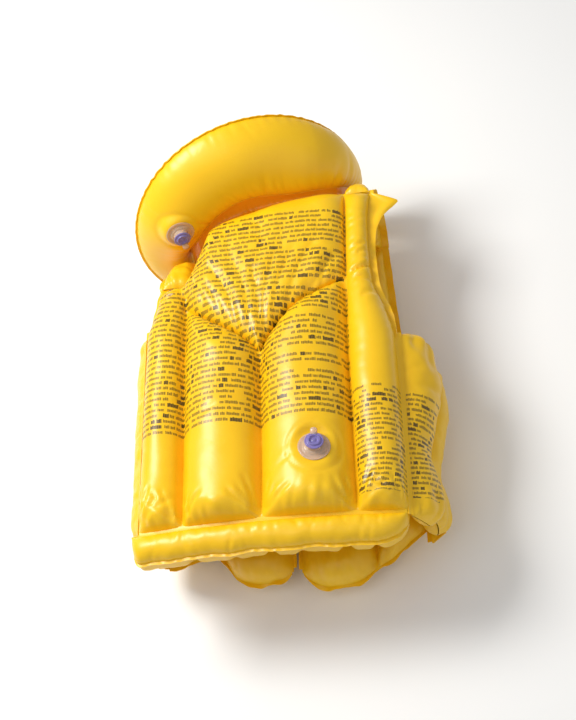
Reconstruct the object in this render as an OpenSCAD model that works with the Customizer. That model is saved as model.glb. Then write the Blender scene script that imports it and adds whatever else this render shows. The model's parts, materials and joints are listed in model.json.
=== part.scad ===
// Inflatable swim vest with collar: welded film panels, three valves, two buckled straps.
// The vest lies on its front. +Y runs from the hem to the collar, +Z from the front to the back.
// Lengths are in millimetres. Each air chamber is split at its weld plane into two film halves.

/* [Body] */
// Height of the weld plane of the back above the weld plane of the front
body_depth = 104; // [98:1:110]
// Height of the front weld plane above the surface it lies on
front_z = 25; // [24:0.5:28]
// How far the back weld plane drops per square millimetre of width
back_crown = 0.0008; // [0.0004:0.0001:0.0012]
// Swell of the middle back tubes
back_swell = 24; // [16:1:26]
// Swell of the yoke between the shoulders
yoke_swell = 15; // [8:1:18]
// Swell of the front tubes
front_swell = 24; // [16:1:26]
// Swell of the side tubes
side_swell = 14; // [8:1:16]
// Swell of the shoulder straps
shoulder_swell = 13; // [8:1:14]

/* [Collar] */
// Radius of the collar's outer seam
collar_r = 117; // [110:1:118]
// Swell of the collar, each way from its seam plane
collar_swell = 21; // [14:1:24]
// Reach of the collar round the neck, each way from the middle of the back
collar_reach = 126; // [110:1:128]

/* [Valves] */
// Bore radius of each valve neck
valve_bore_r = 5; // [4:0.1:5.5]
// Outer radius of each valve neck
valve_neck_r = 7; // [6.5:0.1:7.4]
// Height of each valve neck above its flange
valve_neck_h = 8; // [7:0.5:9]
// Radius of the welded valve flange
valve_flange_r = 14; // [11:0.5:15]
// Radial clearance of the plug in the bore
plug_fit = 0.05; // [0.02:0.01:0.1]

/* [Straps] */
// Width of the webbing
web_w = 25; // [20:0.5:25]
// Thickness of the webbing
web_t = 1.2; // [1:0.1:1.4]
// Height of the webbing's lower face
web_z = 4.4; // [4.2:0.1:4.6]
// Distance of the lower strap from the hem
strap_lo = 60; // [50:1:70]
// Distance of the upper strap from the hem
strap_hi = 140; // [132:1:150]

/* [Hidden] */

edge = 0.4;             // half thickness of a weld
back_z = front_z + body_depth;
shift = [-9, -186.4, -0.6];   // puts the middle of the whole vest over the origin

// ---- shape rules ----
function arc_h(w, h, t) = let (r = (w * w / 4 + h * h) / (2 * h)) sqrt(max(0, r * r - pow(w * (t - 0.5), 2))) - (r - h);
function ease(d, r) = d >= r ? 1 : d <= 0 ? 0 : sqrt(1 - pow(1 - d / r, 2));
function unit(v) = v / norm(v);
function bez2(a, b, c, t) = a * pow(1 - t, 2) + b * 2 * t * (1 - t) + c * t * t;
function bez3(a, b, c, d, t) = a * pow(1 - t, 3) + b * 3 * t * pow(1 - t, 2) + c * 3 * t * t * (1 - t) + d * pow(t, 3);
function mix(a, b, t) = a + (b - a) * t;

// back: columns 0-1 left strap tube, 1-2 and 2-3 middle tubes, 3-4 right strap tube
function bw(i, y) = i == 0 ? lookup(y, [[0, -113], [185, -113], [225, -105], [262, -104]])
    : i == 1 ? -74 : i == 2 ? -3 : i == 3 ? 77
    : lookup(y, [[0, 121], [185, 118], [225, 103], [300, 101], [334, 104]]);
function btop(u) = lookup(u, [[0, 255], [0.9, 258], [1, 268], [1.17, 296], [1.4, 312], [1.7, 319], [2, 324], [2.2, 328], [2.55, 333], [3, 335], [4, 334]]);
function back_m(u, v) = let (y = v * btop(u), i = min(3, max(0, floor(u))), x = mix(bw(i, y), bw(i + 1, y), u - i),
    k = min(1, max(0, (-50 - x) / 30)))
    [x, y, back_z - back_crown * x * x - (y > 200 ? 0.004 * pow(y - 200, 2) * k : 0) - 5 * pow(v, 8)];
function back_h(u, v) = let (y = v * btop(u), i = min(3, max(0, floor(u + 1e-6))), t = u - i, w = bw(i + 1, y) - bw(i, y),
    s = [17, back_swell - 1, back_swell, 19][i], x = mix(bw(i, y), bw(i + 1, y), t), vy = 168 + 0.8 * abs(x + 3),
    low = ease(y, 16), up = ease(btop(u) - y, 18))
    (i == 0 || i == 3) ? arc_h(w, s * w / (i == 0 ? 39 : 42), t) * low * up
    : y < vy ? arc_h(w, s, t) * low * ease(vy - y, 26)
    : yoke_swell * ease(y - vy, 22) * up * ease(min(u - 1, 3 - u) * 75, 24);

// sides: 0 at the back weld, 2 at the front weld
function side_c(s, t) = s < 0 ? bez2([-114, back_z - 11.5], [-117, 72], [-116.5, front_z + 1], t)
    : bez2([122, back_z - 13], [152, 70], [131, front_z + 1], t);
function side_top(s, u) = s < 0 ? lookup(u, [[0, 198], [0.5, 210], [1, 200], [1.5, 186], [2, 158]])
    : lookup(u, [[0, 176], [0.5, 181], [1, 166], [1.5, 168], [2, 158]]);
// the left side starts above the hem tube, which hangs over the end of it
function side_bot(s, u) = s < 0 ? lookup(u, [[0, 1.5], [0.75, 1.5], [1.25, -8], [2, -8]]) : lookup(u, [[0, -6], [0.5, -4], [1, 2], [2, 7]]);
function side_m(s, u, v) = let (c = side_c(s, u / 2)) [c[0], mix(side_bot(s, u), side_top(s, u), v), c[1]];
function side_h(s, u, v) = let (i = u >= 1 ? 1 : 0, l = side_top(s, u) - side_bot(s, u)) arc_h(48, s < 0 ? side_swell - 3 : side_swell, u - i) * ease(v * l, 15) * ease((1 - v) * l, 15);

// fronts: 0 at the side weld, 2 at the front opening
function front_o(s, y) = s < 0 ? lookup(y, [[-14, -113.2], [155, -113.2], [205, -104], [298, -100]])
    : lookup(y, [[-14, 127.8], [155, 127.8], [205, 113], [328, 104]]);
function front_i(s, y) = s < 0 ? lookup(y, [[-14, 4], [150, 4], [215, -28], [298, -66]])
    : lookup(y, [[-14, 12], [165, 12], [235, 36], [328, 70]]);
function front_top(s) = s < 0 ? 298 : 328;
function front_bot(s, u) = s < 0 ? lookup(u, [[0, 4], [0.8, 16], [1, 8], [1.2, -12], [1.5, -18], [1.8, -16], [2, -8]])
    : lookup(u, [[0, 22], [0.3, 12], [0.7, -4], [1, -14], [1.25, -24], [1.6, -26], [2, -10]]);
function front_m(s, u, v) = let (y = mix(front_bot(s, u), front_top(s), v), f = s < 0 ? 0.45 : 0.41,
    t = u < 1 ? u * f : f + (u - 1) * (1 - f)) [mix(front_o(s, y), front_i(s, y), t), y, front_z + 2 * v * v];
function front_w(s, u, y) = abs(front_i(s, y) - front_o(s, y)) * (u < 1 ? (s < 0 ? 0.45 : 0.41) : (s < 0 ? 0.55 : 0.59));
function front_h(s, u, v) = let (i = u >= 1 ? 1 : 0, l = front_top(s) - front_bot(s, u), w = front_w(s, u, v * l + front_bot(s, u)))
    arc_h(w, min(front_swell, 0.38 * w), u - i) * ease(v * l, 16) * ease((1 - v) * l, 16);
// room that the straps press into the outer film
function strap_gap(y) = min(abs(y - strap_lo), abs(y - strap_hi));
function front_floor(s, u, y) = let (a = max(0, 1 - max(0, strap_gap(y) - 24) / 12), b = max(0, 1 - max(0, abs(y - 238) - 31) / 10))
    max(a * (u >= 1 ? 11 : 6.8), s > 0 && u >= 1 ? b * 12.6 : 0);

// shoulders: across the strap, and from the back to the front
function sh_c(s, t) = s < 0 ? bez3([257.8, back_z - 19], [285, 103], [306, 62], [301, front_z + 2.6], t)
    : bez3([336, back_z - 12], [352, 108], [352, 40], [331, front_z + 2.6], t);
function sh_m(s, u, v) = let (c = sh_c(s, v)) [s < 0 ? mix(mix(-104, -75, u), mix(-100, -67, u), v) : mix(mix(103, 78, u), mix(104, 71, u), v), c[0], c[1]];
function sh_h(s, u, v) = arc_h(30, shoulder_swell, u) * ease(v * 105, 12) * ease((1 - v) * 105, 12);

// collar: from the neck weld to the outer seam, and round the neck from left to right
cc = [-24, 360, 80];
cn = unit([0.33, -0.935, 0.13]);
ce1 = unit([0.943, 0.333, 0]);
ce2 = cross(cn, ce1) * (cross(cn, ce1)[2] > 0 ? 1 : -1);
function col_out(a) = cc + collar_r * sin(a) * ce1 + collar_r * cos(a) * ce2;
function col_in(a) = [
    lookup(a, [[-126, -74], [-115, -80], [-90, -86], [-60, -70], [-35, -46], [0, -3], [35, 42], [60, 70], [90, 80], [115, 74], [126, 66]]),
    lookup(a, [[-126, 334], [-115, 332], [-90, 325], [-60, 314], [-35, 319], [0, 328], [35, 340], [60, 354], [90, 370], [115, 372], [126, 370]]),
    lookup(a, [[-126, 30], [-115, 44], [-90, 74], [-60, 102], [-35, 117], [0, 122], [35, 120], [60, 106], [90, 76], [115, 46], [126, 32]])];
function col_m(u, v) = let (a = mix(-collar_reach, collar_reach, v)) mix(col_in(a), col_out(a), u);
function col_h(u, v) = let (a = mix(-collar_reach, collar_reach, v), w = norm(col_out(a) - col_in(a)), l = (1 - abs(2 * v - 1)) * 240)
    arc_h(w, min(collar_swell, 0.3 * w), u) * ease(l, 40);

// hem: from the weld on the back to the outer seam, and across from left to right
function hem_m(u, v) = let (x = mix(-120, 120, v)) [x, -0.8 - 28 * u * ease(min(3 * v, 1 - v) * 240, 14), back_z - back_crown * x * x - 6 * u];
function hem_h(u, v, d) = arc_h(29, d, u) * ease(min(v, 1 - v) * 235, 20);

function mid(k, s, u, v) = k == 0 ? back_m(u, v) : k == 1 ? side_m(s, u, v) : k == 2 ? front_m(s, u, v)
    : k == 3 ? sh_m(s, u, v) : k == 4 ? col_m(u, v) : hem_m(u, v);
// unit normal, pointing away from the wearer (for the collar: towards the hem)
function nrm(k, s, u, v) = k == 0 ? unit([2 * back_crown * mid(k, s, u, v)[0], 0, 1])
    : k == 2 ? [0, 0, -1]
    : k == 5 ? [0, -0.2, 0.98]
    : let (e = 0.002, a = mid(k, s, u + e, v) - mid(k, s, u - e, v), b = mid(k, s, u, v + e) - mid(k, s, u, v - e), c = unit(cross(a, b)))
      k == 1 ? c * (c[0] * s > 0 ? 1 : -1) : k == 3 ? c * (c[1] > 0 ? 1 : -1) : c * (c * cn > 0 ? 1 : -1);
function swell(k, s, u, v) = k == 0 ? back_h(u, v) : k == 1 ? side_h(s, u, v) : k == 2 ? front_h(s, u, v)
    : k == 3 ? sh_h(s, u, v) : col_h(u, v);

// a closed solid between two grids of points that have the same size
module slab(a, b, flip) {
    nu = len(a) - 1; nv = len(a[0]) - 1; m = nv + 1; o = (nu + 1) * m;
    pts = concat([for (r = a) for (p = r) p], [for (r = b) for (p = r) p]);
    top = [for (i = [0:nu - 1]) for (j = [0:nv - 1]) let (q = i * m + j) each [[q, q + 1, q + m + 1], [q, q + m + 1, q + m]]];
    bot = [for (f = top) [f[2] + o, f[1] + o, f[0] + o]];
    w1 = [for (j = [0:nv - 1]) each [[j + 1, j, j + o], [j + 1, j + o, j + 1 + o]]];
    w2 = [for (j = [0:nv - 1]) let (q = nu * m + j) each [[q, q + 1, q + 1 + o], [q, q + 1 + o, q + o]]];
    w3 = [for (i = [0:nu - 1]) let (q = i * m) each [[q, q + m, q + m + o], [q, q + m + o, q + o]]];
    w4 = [for (i = [0:nu - 1]) let (q = i * m + nv) each [[q + m, q, q + o], [q + m, q + o, q + m + o]]];
    all = concat(top, bot, w1, w2, w3, w4);
    polyhedron(points = pts, faces = flip ? [for (f = all) [f[2], f[1], f[0]]] : all, convexity = 6);
}
// one film half of a panel: side +1 is the outer half, -1 the inner half
module film(k, s, umax, nu, nv, half, flip, keep = 1) {
    a = [for (i = [0:nu]) [for (j = [0:nv]) let (u = umax * i / nu, v = j / nv, m = mid(k, s, u, v), n = nrm(k, s, u, v),
        p = m + n * half * (edge + keep * swell(k, s, u, v)))
        (k == 2 && half > 0) ? [p[0], p[1], max(p[2], min(m[2] - edge, front_floor(s, u, p[1])))] : p]];
    b = [for (i = [0:nu]) [for (j = [0:nv]) mid(k, s, umax * i / nu, j / nv)]];
    translate(shift) slab(a, b, flip);
}

// ---- vest panels ----
module back_outer_film() { color("gold") difference() { film(0, 1, 4, 24, 24, 1, false); valve_pocket(0); } }
module back_inner_film() { color("goldenrod") film(0, 1, 4, 24, 24, -1, true, 0.9); }
module hem_tube() {
    nu = 6; nv = 20;
    a = [for (i = [0:nu]) [for (j = [0:nv]) let (u = i / nu, v = j / nv) hem_m(u, v) + nrm(5, 1, u, v) * (edge + hem_h(u, v, 10))]];
    b = [for (i = [0:nu]) [for (j = [0:nv]) let (u = i / nu, v = j / nv) hem_m(u, v) - nrm(5, 1, u, v) * (edge + hem_h(u, v, 20))]];
    color("gold") translate(shift) slab(a, b, true);
}
module left_side_outer_film() { color("gold") film(1, -1, 2, 8, 12, 1, false); }
module left_side_inner_film() { color("goldenrod") film(1, -1, 2, 8, 12, -1, true, 0.9); }
module right_side_outer_film() { color("gold") film(1, 1, 2, 8, 12, 1, true); }
module right_side_inner_film() { color("goldenrod") film(1, 1, 2, 8, 12, -1, false, 0.9); }
module left_shoulder_outer_film() { color("gold") film(3, -1, 1, 6, 8, 1, false); }
module left_shoulder_inner_film() { color("goldenrod") film(3, -1, 1, 6, 8, -1, true); }
module right_shoulder_outer_film() { color("gold") film(3, 1, 1, 6, 8, 1, true); }
module right_shoulder_inner_film() { color("goldenrod") film(3, 1, 1, 6, 8, -1, false); }
module left_front_outer_film() { color("gold") film(2, -1, 2, 12, 22, 1, true); }
module left_front_inner_film() { color("goldenrod") film(2, -1, 2, 12, 22, -1, false, 0.9); }
module right_front_outer_film() { color("gold") film(2, 1, 2, 12, 22, 1, false); }
module right_front_inner_film() { color("goldenrod") film(2, 1, 2, 12, 22, -1, true, 0.9); }
module collar_lower_film() { color("gold") difference() { film(4, 1, 1, 8, 28, 1, false); valve_pocket(1); } }
module collar_upper_film() { color("gold") film(4, 1, 1, 8, 28, -1, true); }

// ---- valves ----
// where each valve stands on its film, and which way it points
valve_at = [[47, 53, back_z + back_swell - 4.6], [-81.3, 306.5, 130.3], [62, 238, 12.2]];
valve_turn = [[-8, 10, 0], [83, 0, 18], [180, 0, 0]];
// the flange is welded on the floor of a round pocket in the swollen film
module valve_pocket(i) { at_valve(i) translate([0, 0, -0.02]) cylinder(h = 22, r = valve_flange_r + 0.3, $fn = 64); }
module at_valve(i) { translate(shift + valve_at[i]) rotate(valve_turn[i]) children(); }
module valve_body() {
    color("plum") difference() {
        union() {
            cylinder(h = 0.8, r = valve_flange_r, $fn = 64);
            cylinder(h = 2.2, r = valve_neck_r + 2, $fn = 64);
            cylinder(h = valve_neck_h, r = valve_neck_r, $fn = 64);
        }
        translate([0, 0, -1]) cylinder(h = valve_neck_h + 2, r = valve_bore_r, $fn = 64);
    }
}
module valve_flap() {
    // thin disc on the floor of the bore, held by a small bridge
    color("thistle") union() {
        cylinder(h = 0.5, r = valve_bore_r - 0.9, $fn = 48);
        translate([0.02 - sqrt(pow(valve_bore_r, 2) - 1), -1, 0]) cube([2, 2, 0.5]);
    }
}
module valve_plug() {
    color("mediumslateblue") union() {
        translate([0, 0, 1.4]) cylinder(h = valve_neck_h - 1.4, r = valve_bore_r - plug_fit, $fn = 64);
        translate([0, 0, valve_neck_h]) cylinder(h = 1.2, r = valve_neck_r + 1, $fn = 64);
        translate([0, 0, valve_neck_h + 1.2]) cylinder(h = 1.6, r = valve_neck_r - 1.6, $fn = 64);
        translate([valve_neck_r - 1, -2, valve_neck_h]) cube([5, 4, 1.2]);
    }
}
module back_valve_body() { at_valve(0) valve_body(); }
module back_valve_flap() { at_valve(0) valve_flap(); }
module back_valve_plug() { at_valve(0) valve_plug(); }
module collar_valve_body() { at_valve(1) valve_body(); }
module collar_valve_flap() { at_valve(1) valve_flap(); }
module collar_valve_plug() { at_valve(1) valve_plug(); }
module front_valve_body() { at_valve(2) valve_body(); }
module front_valve_flap() { at_valve(2) valve_flap(); }
module front_valve_plug() { at_valve(2) valve_plug(); }

// ---- straps and buckles ----
module both_straps() { for (y = [strap_lo, strap_hi]) translate(shift + [0, y, 0]) children(); }
module chamfered(l, w, h, c) {
    linear_extrude(height = h) polygon([[c, -w / 2], [l - c, -w / 2], [l, -w / 2 + c], [l, w / 2 - c], [l - c, w / 2], [c, w / 2], [0, w / 2 - c], [0, -w / 2 + c]]);
}
module left_strap_patches() { color("gold") both_straps() translate([-102, 0, web_z + web_t]) chamfered(24, 32, 1, 4); }
module right_strap_patches() { color("gold") both_straps() translate([94, 0, web_z + web_t]) chamfered(22, 32, 1, 4); }
module left_webbing() { color("dimgray") both_straps() translate([-100, -web_w / 2, web_z]) cube([78.6, web_w, web_t]); }
module right_webbing() { color("dimgray") both_straps() translate([53, -web_w / 2, web_z]) cube([61, web_w, web_t]); }
module buckle_sockets() {
    color("black") both_straps() difference() {
        translate([-28, 0, 0.6]) chamfered(34, 30, 9, 3);
        translate([-17, -11.6, 2.4]) cube([30, 23.2, 5.4]);
        translate([-12, -20, 2.4]) cube([9, 40, 5.4]);
        translate([-30, -web_w / 2 - 0.3, web_z - 0.3]) cube([9, web_w + 0.6, web_t + 0.6]);
    }
}
module tongue(y) {
    color("black") translate(shift + [0, y, 0]) difference() {
        union() {
            translate([38, 0, 0.6]) chamfered(18, 30, 9, 2);
            translate([21, -4, 6.4]) cube([18, 8, 1.4]);
        }
        translate([30, -web_w / 2 - 0.4, web_z - 0.4]) cube([30, web_w + 0.8, web_t + 0.8]);
    }
}
module prong(y, s) {
    color("black") translate(shift + [0, y, 2.8]) linear_extrude(height = 4.6)
        polygon(s > 0 ? [[37.3, 7.4], [37.3, 11], [27, 11], [25.6, 12.9], [24.4, 12.9], [19.6, 9.4], [19.6, 8], [24, 7.4]]
            : [[37.3, -7.4], [24, -7.4], [19.6, -8], [19.6, -9.4], [24.4, -12.9], [25.6, -12.9], [27, -11], [37.3, -11]]);
}
module lower_buckle_tongue() { tongue(strap_lo); }
module upper_buckle_tongue() { tongue(strap_hi); }
module lower_buckle_prong_a() { prong(strap_lo, 1); }
module lower_buckle_prong_b() { prong(strap_lo, -1); }
module upper_buckle_prong_a() { prong(strap_hi, 1); }
module upper_buckle_prong_b() { prong(strap_hi, -1); }

back_outer_film();
back_inner_film();
hem_tube();
left_side_outer_film();
left_side_inner_film();
right_side_outer_film();
right_side_inner_film();
left_shoulder_outer_film();
left_shoulder_inner_film();
right_shoulder_outer_film();
right_shoulder_inner_film();
left_front_outer_film();
left_front_inner_film();
right_front_outer_film();
right_front_inner_film();
collar_lower_film();
collar_upper_film();
back_valve_body();
back_valve_flap();
back_valve_plug();
collar_valve_body();
collar_valve_flap();
collar_valve_plug();
front_valve_body();
front_valve_flap();
front_valve_plug();
left_strap_patches();
left_webbing();
buckle_sockets();
right_strap_patches();
right_webbing();
lower_buckle_tongue();
upper_buckle_tongue();
lower_buckle_prong_a();
lower_buckle_prong_b();
upper_buckle_prong_a();
upper_buckle_prong_b();
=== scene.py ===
import bpy, json, math
import numpy as np
from mathutils import Vector, Matrix


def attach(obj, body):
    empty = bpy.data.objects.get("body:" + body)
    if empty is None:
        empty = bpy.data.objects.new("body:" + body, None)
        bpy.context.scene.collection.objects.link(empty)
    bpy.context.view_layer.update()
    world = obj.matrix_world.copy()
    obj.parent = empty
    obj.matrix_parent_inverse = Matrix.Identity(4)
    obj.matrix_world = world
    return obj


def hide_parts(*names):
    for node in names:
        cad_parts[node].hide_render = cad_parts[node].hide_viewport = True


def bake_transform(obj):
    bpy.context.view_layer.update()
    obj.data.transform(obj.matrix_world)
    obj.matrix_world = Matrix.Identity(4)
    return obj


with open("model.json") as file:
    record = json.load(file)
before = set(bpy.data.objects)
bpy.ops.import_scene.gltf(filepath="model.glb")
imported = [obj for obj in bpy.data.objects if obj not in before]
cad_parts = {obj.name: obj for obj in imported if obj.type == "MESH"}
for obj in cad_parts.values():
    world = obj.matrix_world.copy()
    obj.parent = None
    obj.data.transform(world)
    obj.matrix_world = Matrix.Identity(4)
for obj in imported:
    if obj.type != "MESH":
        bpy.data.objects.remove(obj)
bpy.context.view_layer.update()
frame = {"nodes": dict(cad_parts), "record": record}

scene = bpy.context.scene

# ------------------------------------------------------------------ frame and camera
SH = np.array([-9.0, -186.4, -0.6])          # design millimetres to the row frame


def row(p):
    return (np.asarray(p, float) + SH) * 0.001


def unit3(v):
    v = np.asarray(v, float)
    return v / np.linalg.norm(v)


AZ, EL, ROLL = map(math.radians, (18.0, 58.0, 22.0))
cam_d = np.array([math.sin(AZ) * math.cos(EL), -math.cos(AZ) * math.cos(EL), math.sin(EL)])
cam_r = np.array([math.cos(AZ), math.sin(AZ), 0.0])
cam_u = np.array([-math.sin(AZ) * math.sin(EL), math.cos(AZ) * math.sin(EL), math.cos(EL)])
cr = cam_r * math.cos(ROLL) - cam_u * math.sin(ROLL)
cu = cam_r * math.sin(ROLL) + cam_u * math.cos(ROLL)
target = np.array([0, 150, 80.0]) + cr * 12.1 + cu * 27.9
cam_data = bpy.data.cameras.new("camera")
cam_data.sensor_fit = "HORIZONTAL"
cam_data.sensor_width = 36.0
cam_data.lens = 1290 / 576 * 36.0
cam_data.clip_start, cam_data.clip_end = 0.05, 20.0
cam = bpy.data.objects.new("camera", cam_data)
scene.collection.objects.link(cam)
cam.matrix_world = Matrix([[cr[i], cu[i], cam_d[i], row(target + cam_d * 1200)[i]] for i in range(3)] + [[0, 0, 0, 1]])
scene.camera = cam


# ------------------------------------------------------------------ small maths
def tab(x, table):
    """smooth monotone curve through the table's points"""
    t = np.asarray(table, float)
    xs, ys = t[:, 0], t[:, 1]
    x = np.clip(np.asarray(x, float), xs[0], xs[-1])
    h = np.diff(xs)
    d = np.diff(ys) / h
    m = np.zeros(len(xs))
    m[0], m[-1] = d[0], d[-1]
    for i in range(1, len(xs) - 1):
        if d[i - 1] * d[i] > 0:
            w1, w2 = 2 * h[i] + h[i - 1], h[i] + 2 * h[i - 1]
            m[i] = (w1 + w2) / (w1 / d[i - 1] + w2 / d[i])
    k = np.clip(np.searchsorted(xs, x, side="right") - 1, 0, len(h) - 1)
    s = (x - xs[k]) / h[k]
    return ((2 * s**3 - 3 * s**2 + 1) * ys[k] + (s**3 - 2 * s**2 + s) * h[k] * m[k]
            + (-2 * s**3 + 3 * s**2) * ys[k + 1] + (s**3 - s**2) * h[k] * m[k + 1])


def ease(d, r):
    q = np.clip(d / r, 0, 1)
    return np.sqrt(np.clip(1 - (1 - q) ** 2, 0, 1))


def sstep(a, b, x):
    q = np.clip((x - a) / (b - a), 0, 1)
    return q * q * (3 - 2 * q)


def lens(d, w, sag, strip=1.3, p=1.0):
    """height of a film swollen between two welds, d from the first of them; p mixes an arc with an ellipse"""
    w2 = np.maximum(w - 2 * strip, 1.0)
    t = np.clip((d - strip) / w2, 0, 1)
    sag = np.minimum(sag, w2 * 0.48)
    r = (w2 * w2 / 4 + sag * sag) / (2 * sag)
    arc = np.sqrt(np.maximum(r * r - (w2 * (t - 0.5)) ** 2, 0)) - (r - sag)
    ell = sag * np.sqrt(np.clip(1 - (2 * t - 1) ** 2, 0, 1))
    return np.where((d <= strip) | (d >= w - strip), 0, (1 - p) * arc + p * ell)


def gauss(x, s):
    return np.exp(-(x / s) ** 2)


def rip(x, seed, lam):
    """irregular ripple along x, about -1 to 1"""
    r = np.random.default_rng(seed)
    out = np.zeros_like(np.asarray(x, float))
    for k in range(5):
        l = lam * (0.7 + 0.75 * r.random())
        out += np.sin(2 * np.pi * x / l + 6.28 * r.random()) * (0.6 + 0.6 * r.random())
    return out / 2.4


def soft(x, y, seed, lam):
    """irregular soft relief over a surface, about -1 to 1"""
    r = np.random.default_rng(seed)
    out = np.zeros_like(np.asarray(x, float))
    for k in range(9):
        a = 6.28 * r.random()
        l = lam * (0.6 + 0.9 * r.random())
        out += np.sin(2 * np.pi * (x * math.cos(a) + y * math.sin(a)) / l + 6.28 * r.random())
    return out / 3.6


def puckers(along, away, lo, hi, seed, gap, reach, depth, sharp=1.5, lean=0.35):
    """creases that start at a weld and run out into the film: depth to take off, as a positive height"""
    r = np.random.default_rng(seed)
    out = np.zeros(np.broadcast(along, away).shape)
    c = lo + gap * r.random()
    while c < hi:
        a = lean * (2 * r.random() - 1)
        L = reach * (0.55 + 0.9 * r.random())
        dp = depth * (0.35 + 0.9 * r.random())
        w = sharp * (0.8 + 0.8 * r.random())
        q = np.abs(along - c - a * away)
        out = out + dp * (np.exp(-q / (w * (1 + np.maximum(away, 0) / (1.2 * L)))) - 0.28 * np.exp(-((q - 3.0 * w) / (1.6 * w)) ** 2)) * np.exp(-(away / L) ** 2)
        c += gap * (0.55 + 0.9 * r.random())
    return out


def crease(x, y, x0, y0, x1, y1, width, depth, bend=0.0):
    """one sharp valley from one point to another, fading at both ends"""
    dx, dy = x1 - x0, y1 - y0
    L = math.hypot(dx, dy)
    t = ((x - x0) * dx + (y - y0) * dy) / (L * L)
    q = ((x - x0) * dy - (y - y0) * dx) / L - bend * np.sin(np.pi * np.clip(t, 0, 1))
    win = np.clip(np.minimum(t + 0.12, 1.12 - t) / 0.32, 0, 1)
    win = win * win * (3 - 2 * win)
    return depth * win * (np.exp(-np.abs(q) / width) - 0.35 * np.exp(-((np.abs(q) - 2.6 * width) / (1.6 * width)) ** 2))


# ------------------------------------------------------------------ meshes
def link(me, name):
    ob = bpy.data.objects.new(name, me)
    scene.collection.objects.link(ob)
    return ob


def normals(p):
    a = np.gradient(p, axis=0)
    b = np.gradient(p, axis=1)
    n = np.cross(a, b)
    return n / np.maximum(np.linalg.norm(n, axis=2, keepdims=True), 1e-9)


def shell(name, p, thick, uv=None, flip=False, mat=None):
    """a closed skin: the grid p (design mm) outside, and a copy thick below it"""
    nu, nv = p.shape[0], p.shape[1]
    n = normals(p) * (-1 if flip else 1)
    q = p - n * thick
    pts = np.concatenate([row(p).reshape(-1, 3), row(q).reshape(-1, 3)])
    o = nu * nv
    i, j = np.meshgrid(np.arange(nu - 1), np.arange(nv - 1), indexing="ij")
    a = (i * nv + j).ravel()
    top = np.stack([a, a + nv, a + nv + 1, a + 1], 1)
    bot = top[:, ::-1] + o
    jb = np.arange(nv - 1)
    ib = np.arange(nu - 1) * nv
    w = [np.stack([jb + 1, jb + 1 + o, jb + o, jb], 1),
         np.stack([(nu - 1) * nv + jb, (nu - 1) * nv + jb + o, (nu - 1) * nv + jb + 1 + o, (nu - 1) * nv + jb + 1], 1),
         np.stack([ib, ib + o, ib + nv + o, ib + nv], 1),
         np.stack([ib + nv + nv - 1, ib + nv + nv - 1 + o, ib + nv - 1 + o, ib + nv - 1], 1)]
    f = np.concatenate([top, bot] + w)
    if flip:
        f = f[:, ::-1]
    me = bpy.data.meshes.new(name)
    me.from_pydata(pts.tolist(), [], f.tolist())
    if uv is not None:
        lay = me.uv_layers.new(name="print")
        flat = np.concatenate([uv.reshape(-1, 2)] * 2)
        li = np.zeros(len(me.loops), np.int32)
        me.loops.foreach_get("vertex_index", li)
        lay.data.foreach_set("uv", flat[li].ravel().astype(np.float32))
    me.polygons.foreach_set("use_smooth", [True] * len(me.polygons))
    me.update()
    me.set_sharp_from_angle(angle=math.radians(48))
    ob = link(me, name)
    if mat:
        me.materials.append(mat)
    return ob


def arclen(p, axis):
    d = np.linalg.norm(np.diff(p, axis=axis), axis=2)
    s = np.cumsum(d, axis=axis)
    z = np.zeros_like(np.take(s, [0], axis=axis))
    return np.concatenate([z, s], axis=axis)


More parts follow.
